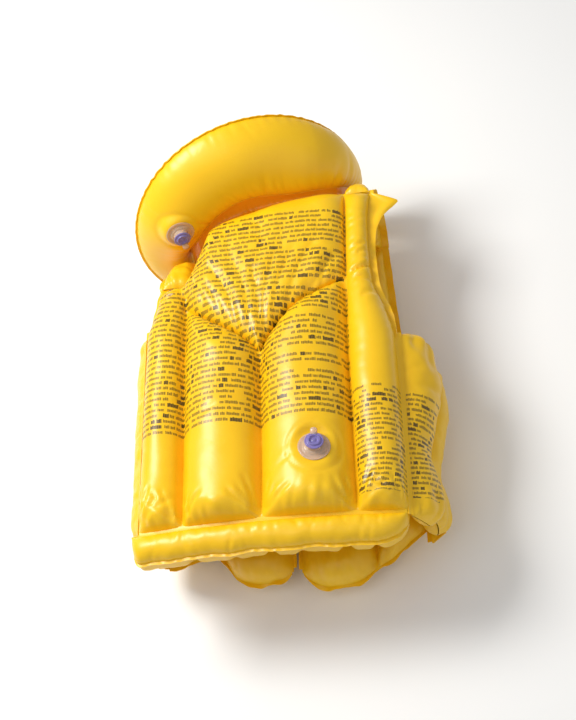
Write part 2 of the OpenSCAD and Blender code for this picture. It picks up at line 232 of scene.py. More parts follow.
# ------------------------------------------------------------------ materials
class Tree:
    def __init__(self, name):
        self.m = bpy.data.materials.new(name)
        self.m.use_nodes = True
        self.t = self.m.node_tree
        self.t.nodes.clear()
        self.out = self.t.nodes.new("ShaderNodeOutputMaterial")

    def n(self, kind, **kw):
        nd = self.t.nodes.new(kind)
        for k, v in kw.items():
            setattr(nd, k, v)
        return nd

    def put(self, sock, v):
        if isinstance(v, bpy.types.NodeSocket):
            self.t.links.new(v, sock)
        else:
            sock.default_value = v

    def math(self, op, a, b=None, c=None):
        nd = self.n("ShaderNodeMath", operation=op)
        for i, v in enumerate((a, b, c)):
            if v is not None:
                self.put(nd.inputs[i], v)
        return nd.outputs[0]

    def noise(self, vec, scale, detail=3.0, rough=0.5, dist=0.0):
        nd = self.n("ShaderNodeTexNoise")
        self.put(nd.inputs["Vector"], vec)
        nd.inputs["Scale"].default_value = scale
        nd.inputs["Detail"].default_value = detail
        nd.inputs["Roughness"].default_value = rough
        nd.inputs["Distortion"].default_value = dist
        return nd.outputs["Fac"]

    def white(self, dims, vec=None, w=None):
        nd = self.n("ShaderNodeTexWhiteNoise", noise_dimensions=dims)
        if vec is not None:
            self.put(nd.inputs["Vector"], vec)
        if w is not None:
            self.put(nd.inputs["W"], w)
        return nd.outputs["Value"]

    def ramp(self, fac, stops):
        nd = self.n("ShaderNodeValToRGB")
        self.put(nd.inputs[0], fac)
        e = nd.color_ramp.elements
        while len(e) < len(stops):
            e.new(0.5)
        for el, (p, c) in zip(e, stops):
            el.position = p
            el.color = (c, c, c, 1) if isinstance(c, (int, float)) else (*c, 1)
        return nd.outputs[0]

    def mix(self, fac, a, b):
        nd = self.n("ShaderNodeMix", data_type="RGBA")
        self.put(nd.inputs[0], fac)
        self.put(nd.inputs[6], a if isinstance(a, bpy.types.NodeSocket) else (*a, 1))
        self.put(nd.inputs[7], b if isinstance(b, bpy.types.NodeSocket) else (*b, 1))
        return nd.outputs[2]

    def coords(self):
        return self.n("ShaderNodeTexCoord").outputs["Object"]

    def bump(self, height, dist, strength=1.0, normal=None):
        nd = self.n("ShaderNodeBump")
        nd.inputs["Strength"].default_value = strength
        nd.inputs["Distance"].default_value = dist
        self.put(nd.inputs["Height"], height)
        if normal is not None:
            self.put(nd.inputs["Normal"], normal)
        return nd.outputs[0]

    def surface(self, color, rough, normal=None, **kw):
        b = self.n("ShaderNodeBsdfPrincipled")
        self.put(b.inputs["Base Color"], color if isinstance(color, bpy.types.NodeSocket) else (*color, 1))
        self.put(b.inputs["Roughness"], rough)
        if normal is not None:
            self.put(b.inputs["Normal"], normal)
        for k, v in kw.items():
            b.inputs[k.replace("_", " ")].default_value = v
        self.t.links.new(b.outputs[0], self.out.inputs[0])
        return self.m


def greeked(T, s_lo, s_hi, p_lo, p_hi, pitch, cell, seed, ragged=0.2):
    """rows of small dark dashes, in blocks: a plain stand-in for print, with no letters. UV holds flat millimetres / 400."""
    uv = T.n("ShaderNodeUVMap", uv_map="print").outputs[0]
    sep = T.n("ShaderNodeSeparateXYZ")
    T.put(sep.inputs[0], uv)
    s = T.math("MULTIPLY", T.math("SUBTRACT", sep.outputs[0], 0.5), 400.0)
    p = T.math("MULTIPLY", sep.outputs[1], 400.0)
    pr = T.math("DIVIDE", p, pitch)
    r = T.math("FLOOR", pr)
    fr = T.math("FRACT", pr)
    # clusters of dashes, 4 to 14 mm long
    rr = T.white("1D", w=T.math("ADD", r, seed + 0.37))
    sw = T.math("ADD", s, T.math("MULTIPLY", rr, 60.0))
    wp = T.math("DIVIDE", T.math("ADD", sw, T.math("MULTIPLY", T.math("SINE", T.math("ADD", T.math("MULTIPLY", sw, 0.31), T.math("MULTIPLY", rr, 9.0))), 2.2)), 7.6)
    wi = T.math("FLOOR", wp)
    wf = T.math("FRACT", wp)
    com = T.n("ShaderNodeCombineXYZ")
    T.put(com.inputs[0], wi)
    T.put(com.inputs[1], r)
    com.inputs[2].default_value = seed
    r0 = T.white("3D", vec=com.outputs[0])
    bold = T.math("GREATER_THAN", r0, 0.86)
    word = T.math("GREATER_THAN", wf, T.math("ADD", 0.13, T.math("MULTIPLY", T.math("GREATER_THAN", r0, 0.62), 0.12)))
    word = T.math("MULTIPLY", word, T.math("GREATER_THAN", r0, 0.035))
    # each dash is a run of short uneven strokes
    cp = T.math("DIVIDE", sw, cell)
    ci = T.math("FLOOR", cp)
    cf = T.math("FRACT", cp)
    com2 = T.n("ShaderNodeCombineXYZ")
    T.put(com2.inputs[0], ci)
    T.put(com2.inputs[1], r)
    com2.inputs[2].default_value = seed + 3.0
    r1 = T.white("3D", vec=com2.outputs[0])
    half = T.math("ADD", T.math("ADD", 0.20, T.math("MULTIPLY", r1, 0.09)), T.math("MULTIPLY", bold, 0.09))
    bar = T.math("LESS_THAN", T.math("ABSOLUTE", T.math("SUBTRACT", fr, T.math("ADD", 0.46, T.math("MULTIPLY", T.math("GREATER_THAN", r1, 0.6), 0.06)))), half)
    cm = T.math("LESS_THAN", T.math("ABSOLUTE", T.math("SUBTRACT", cf, 0.45)), T.math("ADD", 0.30, T.math("MULTIPLY", bold, 0.12)))
    m = T.math("MULTIPLY", T.math("MULTIPLY", word, bar), T.math("ADD", 0.42, T.math("MULTIPLY", cm, 0.58)))
    m = T.math("MULTIPLY", m, T.math("GREATER_THAN", p, p_lo))
    m = T.math("MULTIPLY", m, T.math("LESS_THAN", p, p_hi))
    m = T.math("MULTIPLY", m, T.math("GREATER_THAN", s, s_lo))
    end = T.math("SUBTRACT", s_hi, T.math("MULTIPLY", T.math("GREATER_THAN", T.white("1D", w=T.math("ADD", r, seed + 9.1)), 1 - ragged), (s_hi - s_lo) * 0.3))
    m = T.math("MULTIPLY", m, T.math("LESS_THAN", s, end))
    return T.math("MULTIPLY", m, T.math("ADD", 0.80, T.math("MULTIPLY", bold, 0.16)))


def pvc(name, prints=(), base=(0.935, 0.555, 0.007)):
    T = Tree(name)
    c = T.coords()
    big = T.noise(c, 9.0, 3.0, 0.55)
    fine = T.noise(c, 900.0, 2.0, 0.6)
    mid = T.noise(c, 70.0, 4.0, 0.6, 0.4)
    lo, hi = (base[0] * 0.95, base[1] * 0.90, base[2] * 0.6), base
    col = T.mix(T.ramp(big, [(0.3, 0.0), (0.7, 1.0)]), lo, hi)
    # faint scuffs where the film has been handled
    scuff = T.math("MULTIPLY", T.ramp(T.noise(c, 34.0, 6.0, 0.72, 1.4), [(0.6, 0.0), (0.74, 1.0)]), 0.10)
    col = T.mix(scuff, col, (0.98, 0.80, 0.18))
    for args in prints:
        m = greeked(T, *args)
        col = T.mix(m, col, (0.028, 0.020, 0.010))
    rough = T.math("ADD", T.math("MULTIPLY", mid, 0.10), 0.315)
    rough = T.math("ADD", rough, T.math("MULTIPLY", scuff, 1.2))
    n = T.bump(fine, 0.00006, 0.5)
    n = T.bump(mid, 0.0006, 0.35, n)
    return T.surface(col, rough, n, Specular_IOR_Level=0.5, Subsurface_Weight=0.06,
                     Subsurface_Scale=0.004, Subsurface_Radius=(1.0, 0.45, 0.05), Coat_Weight=0.0)


M_BACK = pvc("pvc_yellow_print", prints=[(-132, 100, 84, 308, 5.6, 1.35, 1.0, 0.12), (102, 200, 12, 112, 4.7, 1.2, 5.0, 0.1)])
M_SIDE = pvc("pvc_yellow_side_print", prints=[(-196, -154, 12, 112, 4.7, 1.2, 12.0, 0.25)])
M_PVC = pvc("pvc_yellow")
# darker orange copy of the film for the neck film: painted shade, with the orange of light bouncing in the crevice
# under the collar painted in
M_PAINTED_SHADE = pvc("pvc_yellow_painted_shade", base=(0.86, 0.36, 0.004))


def glossy(name, color, rough, scale=400.0, alpha=1.0, spec=0.5, transmission=0.0, ior=1.45, vary=0.12, sss=0.0):
    T = Tree(name)
    c = T.coords()
    a = T.noise(c, scale, 4.0, 0.6)
    b = T.noise(c, 60.0, 3.0, 0.5)
    dark = tuple(v * (1 - vary) for v in color)
    col = T.mix(T.ramp(b, [(0.35, 0.0), (0.65, 1.0)]), dark, color)
    r = T.math("ADD", T.math("MULTIPLY", a, 0.12), rough)
    n = T.bump(a, 0.00005, 0.6)
    kw = dict(Specular_IOR_Level=spec)
    if transmission:
        kw["Transmission_Weight"] = transmission
    kw["IOR"] = ior
    if sss:
        kw.update(Subsurface_Weight=sss, Subsurface_Scale=0.003)
    return T.surface(col, r, n, **kw)


M_CLEAR = glossy("valve_clear_amber", (0.96, 0.74, 0.55), 0.10, 300.0, transmission=0.55, ior=1.4)
M_BLUE = glossy("valve_plug_violet", (0.42, 0.36, 0.84), 0.12, 300.0, transmission=0.5, ior=1.4, sss=0.0)
M_BLACK = glossy("buckle_black", (0.018, 0.018, 0.020), 0.34, 1500.0, spec=0.5)


def webbing():
    T = Tree("webbing_black")
    c = T.coords()
    sep = T.n("ShaderNodeSeparateXYZ")
    T.put(sep.inputs[0], c)
    # plain weave: picks along the strap, warps across it, each other one raised
    a = T.math("SINE", T.math("MULTIPLY", sep.outputs[0], 2 * math.pi / 0.0016))
    b = T.math("SINE", T.math("MULTIPLY", sep.outputs[1], 2 * math.pi / 0.0021))
    w = T.math("MULTIPLY", a, b)
    h = T.ramp(T.math("ADD", T.math("MULTIPLY", w, 0.5), 0.5), [(0.2, 0.0), (0.8, 1.0)])
    fuzz = T.noise(c, 2500.0, 3.0, 0.7)
    col = T.mix(h, (0.012, 0.012, 0.014), (0.045, 0.045, 0.05))
    col = T.mix(T.math("MULTIPLY", fuzz, 0.25), col, (0.09, 0.09, 0.10))
    n = T.bump(h, 0.0003, 0.9)
    n = T.bump(fuzz, 0.0001, 0.5, n)
    return T.surface(col, 0.72, n, Sheen_Weight=0.25, Sheen_Roughness=0.4)


M_WEB = webbing()

# ------------------------------------------------------------------ vest panels
E_MM = 0.4
back_z, front_z = 129.0, 25.0

BW0 = [[-5, -113], [150, -113.2], [190, -112.5], [225, -106], [262, -104]]
BW4 = [[-5, 121], [120, 120], [170, 118.5], [200, 112], [228, 103], [270, 100.5], [300, 101], [334, 104]]
BTOP = [[0, 255], [0.5, 256.5], [0.9, 259], [1, 268], [1.17, 296], [1.4, 312], [1.7, 319], [2, 324], [2.2, 328], [2.55, 333], [3, 335], [4, 334]]
VY = [[-80, 224], [-72, 219], [-41, 196], [-20, 181], [-8, 170], [-3, 163], [2, 172], [15, 190], [34, 209], [53, 221], [75, 233], [84, 236]]


def columns(counts):
    return np.concatenate([np.linspace(k, k + 1, c, endpoint=False) for k, c in enumerate(counts)] + [[float(len(counts))]])


def back_grid(nl, nh, counts):
    """rows 0 to nl lie below the V weld, the rest in the yoke, so that the weld is a row of the grid"""
    u = columns(counts)
    U, K = np.meshgrid(u, np.arange(nl + nh + 1.0), indexing="ij")
    top = tab(U, BTOP)
    vy = np.where(U < 1, 219.0, np.where(U > 3, 234.0, tab(np.interp(U, [0, 1, 2, 3, 4], [-104, -74, -3, 77, 101]), VY)))
    Y = np.where(K <= nl, vy * K / nl, vy + (top - vy) * (K - nl) / nh)
    V = Y / top
    w = [tab(Y, BW0), np.full_like(Y, -74.0), np.full_like(Y, -3.0), np.full_like(Y, 77.0), tab(Y, BW4)]
    # the welds are never quite straight on the real film
    f = 1 - sstep(0, 20, Y - vy + 20) * 0
    w[1] = w[1] + 0.9 * np.sin(Y / 47.0 + 1.0) * f
    w[2] = w[2] + 0.7 * np.sin(Y / 39.0) * f
    w[3] = w[3] + 1.0 * np.sin(Y / 61.0 + 2.0) * f
    I = np.clip(np.floor(U + 1e-6).astype(int), 0, 3)
    W = np.stack(w)
    lo = np.take_along_axis(W, I[None], 0)[0]
    hi = np.take_along_axis(W, I[None] + 1, 0)[0]
    X = lo + (hi - lo) * (U - I)
    Q = np.clip((-50 - X) / 30, 0, 1)
    Z = back_z - 0.0008 * X * X - np.where(Y > 200, 0.004 * (Y - 200) ** 2 * Q, 0) - 5 * V**8
    return U, V, X, Y, Z, I, X - lo, hi - lo, top, K <= nl, vy


VALVES = [((47, 53, 148.4), (-8, 10, 0)), ((-81.3, 306.5, 130.3), (83, 0, 18)), ((62, 238, 12.2), (180, 0, 0))]


def turn(deg):
    a, b, c = map(math.radians, deg)
    rx = np.array([[1, 0, 0], [0, math.cos(a), -math.sin(a)], [0, math.sin(a), math.cos(a)]])
    ry = np.array([[math.cos(b), 0, math.sin(b)], [0, 1, 0], [-math.sin(b), 0, math.cos(b)]])
    rz = np.array([[math.cos(c), -math.sin(c), 0], [math.sin(c), math.cos(c), 0], [0, 0, 1]])
    return rz @ ry @ rx


def pocket(P, which, floor_r=13.6, rim_r=23.0):
    """draws the film down to the valve's flange, with a rounded rim and a pressed weld ring"""
    at, deg = VALVES[which]
    R = turn(deg)
    L = (P - np.array(at, float)) @ R
    rr = np.hypot(L[..., 0], L[..., 1])
    k = sstep(rim_r, floor_r, rr) * (np.abs(L[..., 2]) < 30)
    want = np.where(rr < floor_r + 0.2, -0.12, L[..., 2])
    z = L[..., 2] * (1 - k) + (-0.12) * k
    z = z - 0.9 * np.exp(-((rr - rim_r - 0.5) / 1.3) ** 2) * (np.abs(L[..., 2]) < 30)
    L2 = np.stack([L[..., 0], L[..., 1], z], -1)
    return L2 @ R.T + np.array(at, float)


def back_height(U, V, X, Y, I, D, W, top, low_part, vy, inner=False):
    sag = np.choose(I, [17.0, 23.5, 24.5, 19.0])
    sag = np.where((I == 0), np.minimum(sag * W / 39.0, 18), np.where(I == 3, sag * W / 42.0, sag))
    low = ease(Y - 0.8, 17 + 2 * rip(X, 5, 30.0))
    up = ease(top - Y - 1.0, 20.0)
    tube = lens(D, W, sag, p=0.32)
    midl = (I == 1) | (I == 2)
    lobes = tube * low * ease(vy - Y, 34.0)
    yoke = 14.5 * ease(Y - vy, 30.0) * up * ease(np.minimum(U - 1, 3 - U) * 75, 26.0)
    h = np.where(midl, np.where(low_part, lobes, yoke), tube * low * up)
    # the left strap tube runs into the yoke above the end of its crease
    bridge = 11.5 * gauss(X + 74, 18.0) * sstep(216, 250, Y) * up
    h = np.maximum(h, bridge) + 0.2 * np.minimum(h, bridge)
    if inner:
        return h * 0.9
    k = np.minimum(h / 5, 1)
    ridge = 0
    iny = midl & ~low_part
    # valleys that run up the yoke from the point of the V and from the lobes
    for x0, y0, x1, y1, wd, dp, bd in (
            (-3, 165, -8, 250, 3.2, 4.6, 2.0), (3, 172, 14, 262, 2.6, 3.2, -2.5), (-10, 172, -26, 262, 2.6, 3.0, 3.0),
            (10, 184, 32, 268, 2.4, 2.6, -3.0), (-20, 182, -48, 256, 2.4, 2.8, 3.0), (20, 196, 50, 272, 2.4, 2.2, -2.0),
            (-34, 192, -62, 250, 2.2, 2.2, 3.0), (36, 212, 66, 258, 2.4, 2.4, 2.0), (-50, 204, -70, 252, 2.2, 1.8, 2.0),
            (-4, 240, -2, 300, 2.6, 1.4, 2.0), (22, 250, 26, 306, 2.6, 1.2, -2.0), (-30, 246, -36, 300, 2.8, 1.4, 2.0), (48, 262, 52, 312, 2.6, 1.0, 2.0),
            (-52, 246, -58, 292, 2.6, 1.4, -2.0), (56, 232, 76, 262, 2.2, 2.6, -2.0), (74, 246, 44, 268, 2.0, 1.8, 2.0), (76, 272, 52, 290, 2.2, 1.2, 1.0),
            (-70, 262, -40, 288, 2.4, 1.6, 2.0), (-66, 280, -34, 300, 2.2, 1.2, 2.0)):
        ridge = ridge + crease(X, Y, x0, y0, x1, y1, wd * 1.35, dp * 0.62, bd * 1.6)
    h = h - np.where(iny, ridge, 0) * k
    # puckers: at the hem weld, along the V, along the creases
    h = h - k * puckers(X, np.maximum(Y, 0), -114, 122, 11, 8.5, 13.0, 2.1, 1.3)
    h = h - k * np.where(midl & low_part, puckers(X, vy - Y, -76, 80, 12, 8.0, 12.0, 1.3, 1.2), 0)
    h = h - k * np.where(iny, puckers(X, Y - vy, -76, 80, 13, 9.0, 15.0, 1.3, 1.6), 0)
    near = np.minimum(D, W - D)
    for q, sd in ((0, 14), (1, 15), (2, 16), (3, 17)):
        on = (I == q)
        h = h - k * np.where(on, puckers(Y, D, 6, 326, 20 + sd, 15.0, 8.5, 1.25, 1.5, 0.5) + puckers(Y, W - D, 6, 326, 40 + sd, 15.0, 8.5, 1.25, 1.5, 0.5), 0)
    # fans of wrinkles at the foot of each crease
    for cx, sd in ((-74, 1), (-3, 2), (77, 3), (118, 4), (-110, 5)):
        r = np.random.default_rng(200 + sd)
        for m in range(7):
            a = (m - 3) * 0.30 + 0.1 * (2 * r.random() - 1)
            L = 20 + 15 * r.random()
            h = h - k * crease(X, Y, cx + 5 * math.sin(a * 1.6), 5, cx + L * math.sin(a * 1.3), 5 + L * math.cos(a), 1.5, 1.5 + r.random())
    # dents: the pinched strap tube, the end of the left tube
    for x0, y0, x1, y1, wd, dp, bd in (
            (80, 236, 102, 246, 1.8, 3.4, 1.0), (84, 228, 103, 226, 1.8, 2.6, -1.0), (80, 262, 96, 270, 1.7, 1.6, 1.0), (101, 262, 88, 256, 1.8, 1.6, 1.0),
            (80, 296, 98, 300, 1.6, 0.9, 1.0), (104, 214, 90, 206, 2.0, 1.8, 1.0), (-110, 232, -84, 238, 1.8, 2.2, 1.0), (-106, 246, -82, 244, 1.8, 1.6, -1.0),
            (-108, 206, -92, 214, 1.8, 1.4, 1.0), (40, 90, 66, 84, 2.0, 0.7, 2.0), (-60, 96, -36, 104, 2.2, 0.7, 2.0), (14, 40, 30, 52, 1.8, 0.8, 1.0)):
        h = h - k * crease(X, Y, x0, y0, x1, y1, wd, dp, bd)
    # long soft hollows
    h = h + np.minimum(h / 8, 1) * (0.6 * soft(X, Y, 3, 60.0) + 0.16 * soft(X, Y, 4, 20.0))
    return np.maximum(h, 0)


FLATW = np.array([51.0, 86.0, 97.0, 55.0])
S0 = np.array([-137.0, -86.0, 0.0, 97.0])


def uv_from(s_mm, p_mm):
    return np.stack([s_mm / 400.0 + 0.5, p_mm / 400.0], -1)


pieces = {}


def done(ob, body, nodes):
    if nodes:
        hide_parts(*nodes)
    pieces[ob.name] = (ob, body)
    return ob


def flat_uv(P, I, U, counts, Y):
    """flat pattern of the panel: every column keeps its flat width whatever it is swollen to"""
    al = arclen(P, 0)
    cs = np.concatenate([[0], np.cumsum(counts)])
    s = np.zeros(P.shape[:2])
    for q in range(len(counts)):
        a0, a1 = al[cs[q]][None], al[cs[q + 1]][None]
        seg = slice(cs[q], cs[q + 1] + 1)
        s[seg] = S0[q] + FLATW[q] * (al[seg] - a0) / np.maximum(a1 - a0, 1e-6)
    return uv_from(s, Y)


def make_back():
    counts = (24, 42, 46, 26)
    g = back_grid(96, 60, counts)
    U, V, X, Y, Z, I, D, W, top, lo, vy = g
    n = np.stack([0.0016 * X, np.zeros_like(X), np.ones_like(X)], -1)
    n /= np.linalg.norm(n, axis=2, keepdims=True)
    h = back_height(*[g[0], g[1], g[2], g[3], g[5], g[6], g[7], g[8], g[9], g[10]])
    M = np.stack([X, Y, Z], -1)
    P = M + n * (E_MM + h)[..., None]
    P = pocket(P, 0)
    ob = shell("back_outer_skin", P, 0.38, flat_uv(P, I, U, counts, Y), flip=False, mat=M_BACK)
    done(ob, "vest", ["back_outer_film"])
    g = back_grid(48, 30, (12, 20, 22, 12))
    U, V, X, Y, Z, I, D, W, top, lo, vy = g
    n = np.stack([0.0016 * X, np.zeros_like(X), np.ones_like(X)], -1)
    n /= np.linalg.norm(n, axis=2, keepdims=True)
    h = back_height(g[0], g[1], g[2], g[3], g[5], g[6], g[7], g[8], g[9], g[10], True)
    h = h - np.minimum(h / 5, 1) * puckers(X, np.maximum(Y, 0), -114, 122, 71, 11, 14.0, 1.6, 1.8) + 0.3 * np.minimum(h / 8, 1) * soft(X, Y, 31, 40.0)
    P = np.stack([X, Y, Z], -1) - n * (E_MM + np.maximum(h, 0))[..., None]
    ob = shell("back_inner_skin", P, 0.38, None, flip=True, mat=M_PVC)
    done(ob, "vest", ["back_inner_film"])


def bez2(a, b, c, t):
    return a * (1 - t) ** 2 + b * 2 * t * (1 - t) + c * t * t


def bez3(a, b, c, d, t):
    return a * (1 - t) ** 3 + b * 3 * t * (1 - t) ** 2 + c * 3 * t * t * (1 - t) + d * t**3


def make_side(s):
    side = "left" if s < 0 else "right"
    top_t = [[0, 198], [0.5, 210], [1, 200], [1.5, 186], [2, 158]] if s < 0 else [[0, 172], [0.35, 180], [0.7, 177], [1, 164], [1.4, 170], [1.7, 166], [2, 158]]
    u = columns((30, 30))
    v = np.linspace(0, 1, 96)
    U, V = np.meshgrid(u, v, indexing="ij")
    top = tab(U, top_t)
    bot = tab(U, [[0, 1.5], [0.6, 1], [1, -1], [1.5, -2], [2, 5]] if s < 0 else [[0, -4], [0.5, -4], [1, 6], [1.5, 6], [2, 15]])
    Y = bot + V * (top - bot)
    t = U / 2
    pts = ((-114, 117.5), (-117, 72), (-116.5, 26)) if s < 0 else ((122, 116), (152, 70), (131, 26))
    X = bez2(pts[0][0], pts[1][0], pts[2][0], t)
    Z = bez2(pts[0][1], pts[1][1], pts[2][1], t)
    if s > 0:
        # the side is drawn in a little under the armhole and above the hem
        X = X - 11 * np.sin(np.pi * t) ** 0.8 * gauss(Y - 62, 30.0) + 5 * np.sin(np.pi * t) * gauss(Y - 130, 24.0)
    M = np.stack([X, Y, Z], -1)
    n = normals(M)
    if (n[..., 0] * s).mean() < 0:
        n = -n
    I = np.where(U >= 1, 1, 0)
    d = (U - I) * 48
    d = np.where((U == 2), 48, d)
    L = top - bot
    sag = 11.0 if s < 0 else 14.0
    h0 = lens(d, np.full_like(d, 48.0), sag, p=0.3) * ease(V * L - 0.8, 15) * ease((1 - V) * L - 0.8, 15)
    k = np.minimum(h0 / 5, 1)
    h = h0 - k * (puckers(U * 48, V * L, 0, 96, 41 + s, 9.0, 15.0, 2.2, 1.4) + puckers(U * 48, (1 - V) * L, 0, 96, 43 + s, 9.0, 15.0, 2.4, 1.4))
    for q in (0, 1):
        h = h - k * np.where(I == q, puckers(Y, d, 0, 200, 45 + s + 4 * q, 13.0, 10.0, 1.7, 1.6, 0.6) + puckers(Y, 48 - d, 0, 200, 53 + s + 4 * q, 13.0, 10.0, 1.7, 1.6, 0.6), 0)
    h = h + k * (0.7 * soft(U * 48, Y, 50 + s, 34.0) + 0.3 * soft(U * 48, Y, 52 + s, 14.0))
    if s > 0:
        for du, dy, su, sy, a in ((24, 150, 6, 12, 4.0), (70, 140, 6, 10, 3.0), (30, 122, 22, 3, 1.6), (66, 24, 5, 12, 3.0), (20, 16, 5, 12, 3.0), (84, 60, 4, 26, 1.8), (10, 165, 5, 8, 3.0)):
            h = h - k * a * gauss(U * 48 - du, su) * gauss(Y - dy, sy)
    P = M + n * (E_MM + np.maximum(h, 0))[..., None]
    sl = arclen(P, 0)
    ob = shell(side + "_side_outer_skin", P, 0.38, uv_from(sl - 198, Y), flip=(s > 0), mat=M_SIDE if s > 0 else M_PVC)
    done(ob, "vest", [side + "_side_outer_film"])
    hi = np.maximum(h0 * 0.9 + k * 0.4 * soft(U * 48, Y, 61 + s, 30.0), 0)
    P2 = M - n * (E_MM + hi)[..., None]
    ob = shell(side + "_side_inner_skin", P2, 0.38, None, flip=not (s > 0), mat=M_PVC)
    done(ob, "vest", [side + "_side_inner_film"])


FO = {-1: [[-30, -113.2], [140, -113.2], [165, -112], [205, -104.5], [298, -100]], 1: [[-30, 127.8], [140, 127.8], [165, 126.5], [205, 114], [328, 104]]}
FI = {-1: [[-30, 4], [140, 4], [160, 1], [215, -27], [298, -66]], 1: [[-30, 12], [150, 12], [175, 14], [235, 35], [328, 70]]}
FB = {-1: [[0, 4], [0.4, 9], [0.8, 14], [1, 8], [1.2, -10], [1.5, -18], [1.8, -16], [2, -8]],
      1: [[0, 22], [0.3, 12], [0.7, -4], [1, -12], [1.25, -23], [1.6, -26], [1.85, -20], [2, -10]]}
FF = {-1: 0.45, 1: 0.41}
FT = {-1: 298.0, 1: 328.0}


def make_front(s):
    side = "left" if s < 0 else "right"
    u = columns((34, 34))
    v = np.linspace(0, 1, 150)
    U, V = np.meshgrid(u, v, indexing="ij")
    bot = tab(U, FB[s])
    Y = bot + V * (FT[s] - bot)
    fo, fi = tab(Y, FO[s]), tab(Y, FI[s])
    f = FF[s]
    t = np.where(U < 1, U * f, f + (U - 1) * (1 - f))
    X = fo + (fi - fo) * t
    Z = front_z + 2 * V * V
    I = np.where(U >= 1, 1, 0)
    W = np.abs(fi - fo) * np.where(I == 0, f, 1 - f)
    D = (U - I) * W
    D = np.where(U == 2, W, D)
    L = FT[s] - bot
    h0 = lens(D, W, np.minimum(24.0, 0.38 * W), p=0.15) * ease(V * L - 0.8, 18) * ease((1 - V) * L - 0.8, 18)
    k = np.minimum(h0 / 5, 1)
    wr = k * (0.5 * soft(X, Y, 77 + s, 50.0) - puckers(X, V * L, -120, 130, 70 + s, 9.5, 19.0, 3.5, 2.0) - puckers(X, (1 - V) * L, -120, 130, 72 + s, 7.0, 14.0, 1.6, 1.4)
              - puckers(Y, D, -20, 330, 74 + s, 14.0, 9.0, 1.4, 1.6, 0.6) - puckers(Y, W - D, -20, 330, 76 + s, 14.0, 9.0, 1.4, 1.6, 0.6))
    h = np.maximum(h0 + wr, 0)
    gap = np.minimum(np.abs(Y - 60), np.abs(Y - 140))
    a = sstep(40, 21, gap)
    b = sstep(36, 18, np.abs(Y - 238))
    floor = np.maximum(a * np.where(I == 1, 11.3, 7.0), (b * 12.8 if s > 0 else 0) * (I == 1))
    z = Z - E_MM - h
    # the strap draws the tubes in, and the rest lies flat on the ground
    z = np.maximum(z, np.minimum(Z - E_MM, np.maximum(floor, 0.62)))
    P = np.stack([X, Y, z], -1)
    ob = shell(side + "_front_outer_skin", P, 0.38, None, flip=(s > 0), mat=M_PVC)
    done(ob, None, [side + "_front_outer_film"])
    h = np.maximum(h0 * 0.9 + k * (0.5 * soft(X, Y, 83 + s, 40.0) - puckers(X, V * L, -120, 130, 85 + s, 10.0, 19.0, 3.3, 2.1)
                                  - puckers(Y, D, -20, 330, 87 + s, 14.0, 9.0, 1.4, 1.6, 0.6) - puckers(Y, W - D, -20, 330, 89 + s, 14.0, 9.0, 1.4, 1.6, 0.6)), 0)
    P = np.stack([X, Y, Z + E_MM + h], -1)
    ob = shell(side + "_front_inner_skin", P, 0.38, None, flip=not (s > 0), mat=M_PVC)
    done(ob, None, [side + "_front_inner_film"])


def sh_path(s, t):
    if s < 0:
        return bez3(257, 285, 306, 301, t), bez3(110, 103, 62, 27.6, t)
    return bez3(336, 352, 352, 331, t), bez3(117, 108, 40, 27.6, t)


def make_shoulder(s):
    side = "left" if s < 0 else "right"
    U, V = np.meshgrid(np.linspace(0, 1, 26), np.linspace(0, 1, 54), indexing="ij")
    y, z = sh_path(s, V)
    if s < 0:
        X = (-104 + 29 * U) * (1 - V) + (-100 + 33 * U) * V
    else:
        X = (103 - 25 * U) * (1 - V) + (104 - 33 * U) * V
    M = np.stack([X, y, z], -1)
    n = normals(M)
    if n[..., 1].mean() < 0:
        n = -n
    d, w = U * 30, np.full_like(U, 30.0)
    base = lens(d, w, 12.5, p=0.3)
    prof = 0.55 + 0.45 * sstep(0.0, 0.4, V)
    h = base * prof * ease(V * 105 - 0.5, 11) * ease((1 - V) * 105 - 0.5, 11)
    k = np.minimum(h / 4, 1)
    h = np.maximum(h + k * (0.5 * soft(U * 30, V * 105, 93 + s, 18.0) - puckers(V * 105, U * 30, 4, 100, 91 + s, 11.0, 12.0, 1.7, 1.5, 0.5)
                            - puckers(V * 105, (1 - U) * 30, 4, 100, 95 + s, 11.0, 12.0, 1.7, 1.5, 0.5) - puckers(U * 30, V * 105, 0, 30, 97 + s, 6.0, 14.0, 1.6, 1.2)), 0)
    P = M + n * (E_MM + h)[..., None]
    ob = shell(side + "_shoulder_outer_skin", P, 0.38, None, flip=(s > 0), mat=M_PVC)
    done(ob, "vest", [side + "_shoulder_outer_film"])
    P = M - n * (E_MM + h * 0.95)[..., None]
    ob = shell(side + "_shoulder_inner_skin", P, 0.38, None, flip=not (s > 0), mat=M_PVC)
    done(ob, "vest", [side + "_shoulder_inner_film"])


CC = np.array([-24.0, 360.0, 80.0])
CN = unit3([0.33, -0.935, 0.13])
C1 = unit3([0.943, 0.333, 0])
C2 = np.cross(CN, C1)
C2 = C2 if C2[2] > 0 else -C2
RX = [[-126, -74], [-115, -80], [-90, -86], [-60, -70], [-35, -46], [0, -3], [35, 42], [60, 70], [90, 80], [115, 74], [126, 66]]
RY = [[-126, 334], [-115, 332], [-90, 325], [-60, 314], [-35, 319], [0, 328], [35, 340], [60, 354], [90, 370], [115, 372], [126, 370]]
RZ = [[-126, 30], [-115, 44], [-90, 74], [-60, 102], [-35, 117], [0, 122], [35, 120], [60, 106], [90, 76], [115, 46], [126, 32]]


def neck_in(a):
    """the collar's inner weld; behind the neck it stands a little off the top of the yoke"""
    return np.stack([tab(a, RX), tab(a, RY), tab(a, RZ)], -1) + np.array([-2.0, 9.5, 10.0]) * gauss(a + 10, 36.0)[..., None]


